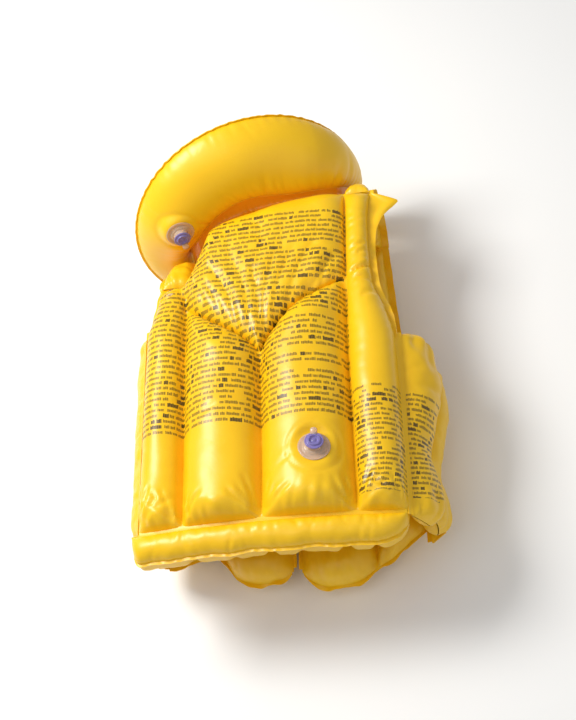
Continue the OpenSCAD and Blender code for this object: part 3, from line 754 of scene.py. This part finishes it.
def make_collar():
    nu, nv = 46, 230
    U, V = np.meshgrid(0.5 - 0.5 * np.cos(np.pi * np.linspace(0, 1, nu)), np.linspace(0, 1, nv), indexing="ij")
    A = -126 + 252 * V
    inn = neck_in(A)
    r = np.radians(A)
    out = CC + 117 * np.sin(r)[..., None] * C1 + 117 * np.cos(r)[..., None] * C2
    M = inn + (out - inn) * U[..., None]
    n = normals(M)
    if (n @ CN).mean() < 0:
        n = -n
    w = np.linalg.norm(out - inn, axis=2)
    l = (1 - np.abs(2 * V - 1)) * 240
    tip = ease(l, 40)
    arc = 2.05 * A
    base = lens(U * w, w, np.minimum(21, 0.3 * w), strip=1.0, p=0.55) * tip
    k = np.minimum(base / 4, 1)
    edge_out = np.exp(-(1 - U) * w / 6.0)
    edge_in = np.exp(-U * w / 9.0)
    away = (1 - U) * w
    puck = -k * (puckers(arc, away, -255, 255, 101, 9.0, 9.0, 1.1, 1.5) * (0.55 + 0.8 * gauss(A - 15, 45.0)) + puckers(arc, U * w, -255, 255, 103, 11.0, 14.0, 1.9, 1.8))
    low = base * 0.90 + puck + k * 0.45 * soft(arc, U * w, 105, 70.0)
    eo = (out - inn) / w[..., None]
    P = M + n * (E_MM + np.maximum(low, 0))[..., None]
    P = pocket(P, 1, 13.6, 20.0)
    s_l = shell("collar_lower_skin", P, 0.38, None, flip=False, mat=M_PVC)
    done(s_l, "collar", ["collar_lower_film"])
    up = base * 1.22 + k * (0.5 * soft(arc, U * w, 111, 60.0) - puckers(arc, away, -255, 255, 107, 8.5, 10.0, 1.7, 1.5) - puckers(arc, U * w, -255, 255, 109, 11.0, 14.0, 1.9, 1.8))
    P = M - n * (E_MM + np.maximum(up, 0))[..., None] + eo * (6.0 * tip * np.sin(np.pi * np.clip((1 - U) / 0.5, 0, 1)) ** 0.75)[..., None]
    s_u = shell("collar_upper_skin", P, 0.38, None, flip=True, mat=M_PVC)
    done(s_u, "collar", ["collar_upper_film"])
    # the welded rim outside the seam
    Ar = np.linspace(-125, 125, 240)
    rr = np.radians(Ar)
    o = CC + 117 * np.sin(rr)[:, None] * C1 + 117 * np.cos(rr)[:, None] * C2
    e = np.sin(rr)[:, None] * C1 + np.cos(rr)[:, None] * C2
    wob = 0.35 * rip(2.05 * Ar, 131, 9.0)
    g = np.stack([o - e * 1.2 + CN * 0.5, o + e * 0.6 + CN * (0.6 + wob)[:, None], o + e * 2.1 + CN * (0.9 + 1.6 * wob)[:, None]], 0)
    rim = shell("collar_rim", g, 0.7, None, flip=False, mat=M_PVC)
    done(rim, "collar", [])


def make_hem():
    nu, nv = 30, 150
    U, V = np.meshgrid(np.linspace(0, 1, nu), np.linspace(0, 1, nv), indexing="ij")
    X = -120 + 240 * V
    e = ease(np.minimum(4 * V, 1 - V) * 240, 30)
    Y = -0.8 - 24 * U * e + 0.7 * rip(X, 121, 40.0) * U
    Z = back_z - 0.0008 * X * X - 7 * U
    M = np.stack([X, Y, Z], -1)
    n = np.array([0, -0.2, 0.98])
    cap = ease(np.minimum(2.2 * V, 1 - V) * 240, 26)
    d, w = U * 25, np.full_like(U, 25.0)
    k = np.minimum(cap, 1)
    hu = lens(d, w, 8.5, strip=0.9, p=0.4) * cap
    hd = 20 * np.sqrt(np.clip(1 - (2 * np.clip(U, 0, 1) - 1) ** 2, 0, 1)) * cap
    pk = np.exp(-np.minimum(d, 29 - d) / 6.0)
    hu = np.maximum(hu + np.minimum(hu / 3, 1) * (0.35 * soft(X, U * 29, 125, 30.0) - puckers(X, d, -120, 120, 123, 9.0, 9.0, 1.4, 1.4, 0.5) - puckers(X, 25 - d, -120, 120, 129, 11.0, 8.0, 1.1, 1.4, 0.5)), 0)
    hd = hd - np.minimum(hd / 4, 1) * (puckers(X, d, -120, 120, 127, 10.0, 10.0, 1.8, 1.6, 0.5) + puckers(X, 25 - d, -120, 120, 133, 9.0, 10.0, 2.2, 1.6, 0.5))
    for dx, a in ((-62, 4.0), (4, 4.5), (62, 5.0), (-98, 2.0), (92, 3.0)):
        hd = hd - a * gauss(X - dx, 4.0) * np.minimum(hd / 5, 1)
    top = M + n * (E_MM + hu)[..., None]
    swell = 8.5 * cap * np.sin(np.pi * np.clip((1 - U) / 0.62, 0, 1)) ** 0.8
    for dx, a in ((-66, 5.0), (-30, 3.0), (2, 6.0), (28, 3.0), (66, 6.0), (90, 3.5)):
        swell = swell - a * gauss(X - dx, 4.2) * np.minimum(swell / 5, 1)
    bot = M - n * (E_MM + np.maximum(hd, 0))[..., None] + np.array([0, -1.0, 0]) * swell[..., None]
    # the two films of the tube, each as its own closed skin
    top_o = shell("hem_tube_upper_skin", top, 0.38, None, flip=True, mat=M_PVC)
    done(top_o, "vest", ["hem_tube"])
    bot_o = shell("hem_tube_lower_skin", bot, 0.38, None, flip=False, mat=M_PVC)
    done(bot_o, "vest", ["hem_tube"])
    # the crisp seam along the tube
    x = np.linspace(-119.5, 117, 200)
    yy, zz = np.interp(x, X[-1], M[-1, :, 1]), np.interp(x, X[-1], M[-1, :, 2])
    wob = 0.3 * rip(x, 135, 8.0)
    g = np.stack([np.stack([x, yy + 1.2, zz + 0.7], -1), np.stack([x, yy - 0.6, zz + 0.5 + wob], -1), np.stack([x, yy - 2.0, zz + 0.3 + 1.5 * wob], -1)], 0)
    done(shell("hem_rim", g, 0.7, None, flip=True, mat=M_PVC), "vest", [])
    # and the flat weld between the tube and the back
    x = np.linspace(-112, 119, 160)
    zc = back_z - 0.0008 * x * x
    g = np.stack([np.stack([x, 1.6 + 0 * x, zc + 0.85], -1), np.stack([x, -0.4 + 0 * x, zc + 0.95], -1), np.stack([x, -2.6 + 0 * x, zc + 0.35], -1)], 0)
    done(shell("hem_weld", g, 0.8, None, flip=True, mat=M_PVC), "vest", [])


make_back()
for s in (-1, 1):
    make_side(s)
    make_front(s)
    make_shoulder(s)
make_collar()
make_hem()


# ------------------------------------------------------------------ weld strips and flanges


def ribbon(name, a, b, rows, body, wave=None, thick=0.8, mat=None):
    """a flat strip of welded film between two curves; wave(t, s) moves it along its own normal"""
    a, b = np.asarray(a, float), np.asarray(b, float)
    s_ = np.linspace(0, 1, rows)[None, :, None]
    g = a[:, None] * (1 - s_) + b[:, None] * s_
    if wave is not None:
        n = normals(g)
        t = np.linspace(0, 1, len(a))[:, None] + 0 * s_[..., 0]
        g = g + n * wave(t, s_[..., 0] + 0 * t)[..., None]
    ob = shell(name, g, thick, None, mat=mat or M_PVC)
    done(ob, body, [])
    return ob


def back_pt(x, y, v=None):
    q = np.clip((-50 - x) / 30, 0, 1)
    z = back_z - 0.0008 * x * x - np.where(y > 200, 0.004 * (y - 200) ** 2 * q, 0)
    return np.stack([x, y, z + 0 * x], -1)


# neck: the film between the yoke's top weld and the collar's inner weld
aa = np.linspace(-92, 96, 130)
ci = neck_in(aa)
uu = np.interp(ci[:, 0], [-82, -74, -3, 77, 101], [0.93, 1.02, 2, 3, 4])
bb_in = 2.0
bx = np.interp(uu, [0, 1, 2, 3, 4], [-104, -74, -3, 77, 101])
bt = tab(uu, BTOP)
bb = back_pt(bx, bt) - np.array([0, 0, 5.0])
ss = np.linspace(0, 1, 16)
g = bb[:, None] * (1 - ss[None, :, None]) + ci[:, None] * ss[None, :, None]
gl = np.linalg.norm(ci - bb, axis=1)[:, None]
arcn = np.cumsum(np.r_[0, np.linalg.norm(np.diff(ci, axis=0), axis=1)])[:, None]
g = g + np.array([0.0, 0.25, -0.97]) * (np.sin(np.pi * ss)[None] * (0.42 * gl + 1.5) + 0.9 * np.sin(np.pi * ss)[None] * rip(arcn, 141, 7.0) * np.minimum(gl / 12, 1))[..., None]
# the neck film takes the darker orange film: painted shade in the crevice under the collar
nk = shell("neck_film", g, 0.5, None, mat=M_PAINTED_SHADE)
done(nk, ("vest", "collar", (-0.23 * 300, 0.97 * 300, 120), (-0.23 * 326, 0.97 * 326, 120)), [])

# right armhole: the flat weld outside the strap tube, with its pointed corner, round the shoulder to the front
ys = np.linspace(150, 333.5, 110)
pa = back_pt(tab(ys, BW4) - 1.0, ys) - np.array([0, 0, 1.0]) * (5 * (ys / 334.0) ** 8)[:, None]
wd = np.interp(ys, [150, 172, 190, 230, 270, 290, 304, 313, 320, 322.5, 333.5], [1.2, 3, 5.5, 6.0, 6.5, 8.5, 14, 20, 27, 29.5, 4])
tv = np.linspace(0.03, 1, 70)
sy, sz = sh_path(1, tv)
pb = np.stack([103 + tv, sy, sz], -1)
wb = tab(tv, [[0.03, 4], [0.2, 6], [0.6, 7], [1, 6]])
p0 = np.concatenate([pa, pb])
ww = np.concatenate([wd, wb])
tt = np.linspace(0, 1, len(p0))
dr = np.stack([np.full_like(tt, 0.96), 0.05 + 0 * tt, -0.16 - 0.22 * np.sin(tt * 40) * 0.3], -1)
ribbon("right_armhole_flange", p0, p0 + dr * ww[:, None], 12, "vest",
       lambda t, q: q * (1.5 * np.sin(t * 34 + 1.0) + 1.0 * np.sin(t * 71)) + 2.4 * q * np.exp(-((t - 0.55) / 0.05) ** 2) * np.sin(q * 6))
ys = np.linspace(196, 256.5, 50)
pa = back_pt(tab(ys, BW0) + 1.0, ys)
tv = np.linspace(0.03, 1, 60)
sy, sz = sh_path(-1, tv)
pb = np.stack([-104 + 4 * tv, sy, sz], -1)
p0 = np.concatenate([pa, pb])
ww = np.concatenate([tab(ys, [[196, 1.2], [215, 3.0], [256.5, 3.4]]), tab(tv, [[0, 3.4], [0.5, 5], [1, 4]])])
tt = np.linspace(0, 1, len(p0))
dr = np.stack([np.full_like(tt, -0.96), 0 * tt, -0.2 + 0 * tt], -1)
ribbon("left_armhole_flange", p0, p0 + dr * ww[:, None], 8, "vest", lambda t, q: q * 0.6 * np.sin(t * 40))
# the flat weld where the left strap tube ends and the shoulder starts
ys = np.linspace(246, 264, 24)
yc = np.minimum(ys, 256.5)
p0 = back_pt(tab(yc, BW0) + 0.6, yc) + np.stack([0.25 * (ys - yc), ys - yc, -0.15 * (ys - yc)], -1)
ribbon("left_shoulder_root", p0, p0 + np.array([16.0, 0, 0]), 6, "vest")
# neck side of the shoulders
for s in (-1, 1):
    tv = np.linspace(0.02, 0.98, 60)
    sy, sz = sh_path(s, tv)
    x0 = -75 + 8 * tv if s < 0 else 78 - 7 * tv
    p0 = np.stack([x0, sy, sz], -1)
    ribbon(("left" if s < 0 else "right") + "_neck_flange", p0 + np.array([s * 1.0, 0, 0]), p0 - np.array([s * 4.5, 0, 0]), 6, "vest", lambda t, q: q * 1.0 * np.sin(t * 47 + s))

# welds between the back and the sides
ys = np.linspace(-3, 174, 110)
ribbon("right_side_weld", back_pt(tab(ys, BW4) - 1.8, ys) + np.array([0.3, 0, 0.9]), np.stack([123.4 + 0 * ys, ys, 115.2 + 0 * ys], -1), 5, "vest", lambda t, q: 0.5 * np.sin(np.pi * q), thick=1.1)
ys = np.linspace(-1, 206, 110)
ribbon("left_side_weld", back_pt(tab(ys, BW0) + 1.8, ys) + np.array([-0.3, 0, 0.9]), np.stack([-115.2 + 0 * ys, ys, 116.2 + 0 * ys], -1), 5, "vest", lambda t, q: -0.5 * np.sin(np.pi * q), thick=1.1)
# the fold where each side meets its front
ys = np.linspace(8, 158, 90)
ribbon("right_fold_weld", np.stack([131.4 + 0 * ys, ys, 27.0 + 0 * ys], -1), np.stack([126.4 + 0 * ys, ys, 25.0 + 0 * ys], -1), 5,
       ("vest", "right_front", (131.0, 80, 26), (128.0, 80, 25)))
ys = np.linspace(4, 158, 90)
ribbon("left_fold_weld", np.stack([-116.9 + 0 * ys, ys, 27.0 + 0 * ys], -1), np.stack([-111.8 + 0 * ys, ys, 25.0 + 0 * ys], -1), 5,
       ("vest", "left_front", (-116.5, 80, 26), (-113.4, 80, 25)))
# pointed corner at the foot of the right side
ys = np.linspace(6, 70, 50)
wd = np.interp(ys, [6, 14, 17, 28, 44, 70], [2, 14, 15.5, 8, 4, 1.5])
p0 = np.stack([130.6 + 0 * ys, ys, 27.5 + 0 * ys], -1)
ribbon("right_corner_flap", p0, p0 + np.array([0.96, -0.05, 0.10]) * wd[:, None], 8, "vest", lambda t, q: q * 1.6 * np.sin(t * 7 + q * 3))
# outer welds of the front straps and the welded joint at the shoulders
for s in (-1, 1):
    side = "left" if s < 0 else "right"
    y1 = FT[s] - 0.5
    ys = np.linspace(162, y1 + 4.5, 80)
    x = tab(ys, FO[s])
    p0 = np.stack([x, ys, 25.4 + 2 * (ys / y1) ** 2], -1)
    ribbon(side + "_strap_flange", p0 - np.array([s * 1.2, 0, 0]), p0 + np.array([s * 1.0, 0, 0.1]) * tab(ys, [[162, 1], [180, 5], [y1, 5.5]])[:, None], 6, None, lambda t, q: q * 0.9 * np.sin(t * 41))
    # flat welds along the front opening and along the ragged foot of the front
    ys = np.linspace(float(tab(2.0, FB[s])) + 3, 150, 70)
    p0 = np.stack([tab(ys, FI[s]), ys, 25.2 + 0 * ys], -1)
    ribbon(side + "_opening_flange", p0 + np.array([s * 1.2, 0, 0]), p0 - np.array([s * 3.0, 0, 0]), 5, "left_front" if s < 0 else "right_front", lambda t, q: q * 0.8 * np.sin(t * 37))
    ub = np.linspace(0.02, 1.98, 150)
    by = tab(ub, FB[s])
    bxx = tab(by, FO[s]) + (tab(by, FI[s]) - tab(by, FO[s])) * np.where(ub < 1, ub * FF[s], FF[s] + (ub - 1) * (1 - FF[s]))
    p0 = np.stack([bxx, by + 1.2, 25.2 + 0 * ub], -1)
    wv = 3.4 + 1.2 * rip(ub, 151 + s, 0.42) + 0.3 * rip(ub, 153 + s, 0.16)
    ribbon(side + "_foot_flange", p0, np.stack([bxx, by - np.maximum(wv, 1.2), 25.2 + 0 * ub], -1), 7, "left_front" if s < 0 else "right_front",
           lambda t, q: q * (1.1 * rip(t, 155 + s, 0.16) + 0.4 * np.sin(t * 34)))
    tx = np.linspace(0, 1, 24)
    fx0, fx1 = float(tab(y1, FO[s])), float(tab(y1, FI[s]))
    p0 = np.stack([fx0 + (fx1 - fx0) * tx, y1 - 1.5 + 0 * tx, 26.9 + 0 * tx], -1)
    sy1 = 301 if s < 0 else 331
    sx0, sx1 = (-100, -67) if s < 0 else (104, 71)
    p1 = np.stack([sx0 + (sx1 - sx0) * tx, sy1 + 0.6 + 0 * tx, 27.8 + 0 * tx], -1)
    ribbon(side + "_shoulder_weld", p0, p1, 5, "vest", lambda t, q: 0.3 * np.sin(t * 40) * np.sin(np.pi * q), thick=1.0)

# ------------------------------------------------------------------ valves
def lathe(name, prof, which, body, nodes, mat, seg=72):
    at, deg = VALVES[which]
    R = turn(deg)
    pts, fac = [], []
    prof = [tuple(map(float, q)) for q in prof]
    ring = []
    for r, z in prof:
        if r < 1e-6:
            ring.append([len(pts)])
            pts.append((0, 0, z))
        else:
            ring.append(list(range(len(pts), len(pts) + seg)))
            pts += [(r * math.cos(2 * math.pi * k / seg), r * math.sin(2 * math.pi * k / seg), z) for k in range(seg)]
    loop = list(zip(ring, ring[1:])) + ([(ring[-1], ring[0])] if len(ring[0]) > 1 else [])
    for a, b in loop:
        for k in range(seg):
            k2 = (k + 1) % seg
            if len(a) == 1 and len(b) == 1:
                continue
            if len(a) == 1:
                fac.append((a[0], b[k2], b[k]))
            elif len(b) == 1:
                fac.append((a[k], a[k2], b[0]))
            else:
                fac.append((a[k], a[k2], b[k2], b[k]))
    w_ = row(np.array(pts) @ R.T + np.array(at, float))
    me = bpy.data.meshes.new(name)
    me.from_pydata(w_.tolist(), [], fac)
    me.polygons.foreach_set("use_smooth", [True] * len(me.polygons))
    me.update()
    me.set_sharp_from_angle(angle=math.radians(48))
    me.materials.append(mat)
    ob = link(me, name)
    done(ob, body, nodes)
    return ob


def tube(name, pts, rad, which, body, mat, slot, flat=0.55, seg=14):
    at, deg = VALVES[which]
    R = turn(deg)
    c = np.array(pts, float)
    t = np.linspace(0, len(c) - 1, 40)
    k = np.clip(t.astype(int), 0, len(c) - 2)
    f = (t - k)[:, None]
    p_1 = c[np.maximum(k - 1, 0)]
    p0, p1, p2 = c[k], c[k + 1], c[np.minimum(k + 2, len(c) - 1)]
    q = 0.5 * (2 * p0 + (p1 - p_1) * f + (2 * p_1 - 5 * p0 + 4 * p1 - p2) * f**2 + (3 * p0 - p_1 - 3 * p1 + p2) * f**3)
    tg = np.gradient(q, axis=0)
    tg /= np.linalg.norm(tg, axis=1, keepdims=True)
    side = np.array([1.0, 0, 0])
    vv, ff = [], []
    for m in range(len(q)):
        up = np.cross(tg[m], side)
        up /= np.linalg.norm(up)
        for j in range(seg):
            a = 2 * math.pi * j / seg
            vv.append(q[m] + side * rad * math.cos(a) + up * rad * flat * math.sin(a))
    for m in range(len(q) - 1):
        for j in range(seg):
            j2 = (j + 1) % seg
            ff.append((m * seg + j, m * seg + j2, (m + 1) * seg + j2, (m + 1) * seg + j))
    ff.append(tuple(range(seg))[::-1])
    ff.append(tuple((len(q) - 1) * seg + j for j in range(seg)))
    w_ = row(np.array(vv) @ R.T + np.array(at, float))
    me = bpy.data.meshes.new(name)
    me.from_pydata(w_.tolist(), [], ff)
    me.polygons.foreach_set("use_smooth", [True] * len(me.polygons))
    me.update()
    me.set_sharp_from_angle(angle=math.radians(48))
    me.materials.append(mat)
    ob = link(me, name)
    done(ob, body, [])
    return ob


BODY_PROF = [(5.0, 0.0), (13.5, 0.0), (13.9, 0.15), (14.0, 0.45), (13.8, 0.8), (13.2, 1.05), (12.6, 1.15), (12.0, 0.95), (11.3, 0.85), (10.5, 0.9), (9.9, 1.1), (9.3, 1.7), (9.0, 2.2), (8.6, 2.5), (7.8, 2.65), (7.2, 2.9), (7.0, 3.3),
             (6.95, 6.6), (7.05, 7.0), (7.3, 7.3), (7.35, 7.6), (7.2, 7.9), (6.9, 7.98), (5.25, 7.98), (5.0, 7.8)]
PLUG_PROF = [(0, 1.4), (4.5, 1.4), (4.85, 1.6), (4.94, 2.0), (4.94, 7.98), (7.9, 8.02), (8.15, 8.25), (8.2, 8.6), (8.1, 9.0), (7.8, 9.25), (7.3, 9.3), (6.9, 9.12), (6.5, 9.12), (6.1, 9.35), (5.75, 9.6), (5.6, 10.2), (5.5, 10.6), (5.2, 10.8),
             (4.6, 10.85), (4.1, 10.7), (3.9, 10.2), (3.7, 9.6), (3.2, 9.3), (2.2, 9.25), (1.7, 9.45), (1.3, 9.8), (0.8, 9.95), (0, 10.0)]
for i, (nm, b1, b2) in enumerate((("back", "vest", "back_plug"), ("collar", "collar", "collar_plug"), ("front", "right_front", "front_plug"))):
    lathe(nm + "_valve_neck", BODY_PROF, i, b1, [nm + "_valve_body"], M_CLEAR)
    lathe(nm + "_valve_stopper", PLUG_PROF, i, b2, [nm + "_valve_plug"], M_BLUE, 64)
    sg = 1 if i != 1 else -1
    at, deg = VALVES[i]
    R = turn(deg)
    p_lo = tuple(np.array(at) + R @ np.array([0, 7, 2.2]))
    p_hi = tuple(np.array(at) + R @ np.array([0, 7, 8.2]))
    tube(nm + "_valve_tether", [(0, sg * 6.4, 2.6), (0, sg * 8.6, 3.0), (0, sg * 11.3, 5.4), (0, sg * 12.0, 8.2), (0, sg * 10.6, 10.2), (0, sg * 8.6, 9.8), (0, sg * 6.6, 8.75)], 3.0, i,
         (b1, b2, p_lo, p_hi), M_CLEAR, "valve_body")


def fix_outward(ob, centre):
    """turns a skin the right way out if its faces look at its own middle"""
    import bmesh
    bm = bmesh.new()
    bm.from_mesh(ob.data)
    if bm.calc_volume(signed=True) < 0:
        bmesh.ops.reverse_faces(bm, faces=bm.faces[:])
    bm.to_mesh(ob.data)
    bm.free()


for name, (ob, body) in list(pieces.items()):
    fix_outward(ob, None)

# ------------------------------------------------------------------ bodies
for name, (ob, body) in pieces.items():
    if isinstance(body, tuple):
        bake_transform(ob)
    elif body:
        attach(ob, body)
    else:
        s = -1 if name.startswith("left") else 1
        y0, y1 = (205, 299) if s < 0 else (215, 329)
        x = -90 if s < 0 else 95
        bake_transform(ob)

# ------------------------------------------------------------------ carried-over CAD nodes
MATS = {"valve_body": M_CLEAR, "valve_plug": M_BLUE, "webbing": M_WEB, "buckle": M_BLACK, "pvc_film": M_PVC}
slots = {sp["node"]: sp["material_slot"] for sp in frame["record"]["subparts"]}
for n, o in frame["nodes"].items():
    if o.hide_render:
        continue
    m = MATS[slots[n]]
    if not o.material_slots:
        o.data.materials.append(m)
    for sl in o.material_slots:
        sl.material = m

# ------------------------------------------------------------------ floor and light
fm = Tree("floor_pale")
c = fm.coords()
fcol = fm.mix(fm.noise(c, 3.0, 2.0), (0.93, 0.93, 0.925), (0.96, 0.96, 0.955))
M_FLOOR = fm.surface(fcol, 0.8, None, Specular_IOR_Level=0.2)
me = bpy.data.meshes.new("floor")
me.from_pydata([(-6, -6, 0), (6, -6, 0), (6, 6, 0), (-6, 6, 0)], [], [(0, 1, 2, 3)])
me.materials.append(M_FLOOR)
floor = link(me, "floor")
floor.location = (0, 0, -0.0004)

w = bpy.data.worlds.new("world")
scene.world = w
w.use_nodes = True
bg = w.node_tree.nodes["Background"]
bg.inputs[0].default_value = (1.0, 1.0, 1.0, 1)
bg.inputs[1].default_value = 0.42


def area(name, loc, aim, size, power, color=(1, 1, 1)):
    l = bpy.data.lights.new(name, "AREA")
    l.shape = "RECTANGLE"
    l.size, l.size_y = size
    l.energy = power
    l.color = color
    o = bpy.data.objects.new(name, l)
    scene.collection.objects.link(o)
    o.location = loc
    o.rotation_euler = (Vector(aim) - Vector(loc)).to_track_quat("-Z", "Y").to_euler()
    return o


area("key", (-0.62, 0.22, 1.0), (0, 0, 0.08), (0.45, 0.45), 12.6, (1.0, 0.985, 0.95))
area("fill", (1.0, -0.9, 0.9), (0, 0, 0.08), (1.2, 1.2), 1.5, (0.96, 0.98, 1.0))
area("top", (-0.3, -0.5, 1.5), (0, 0, 0.08), (0.8, 0.8), 2.6)
scene.view_settings.view_transform = "Standard"
scene.view_settings.look = "None"
scene.view_settings.exposure = 0.0
scene.view_settings.gamma = 1.0
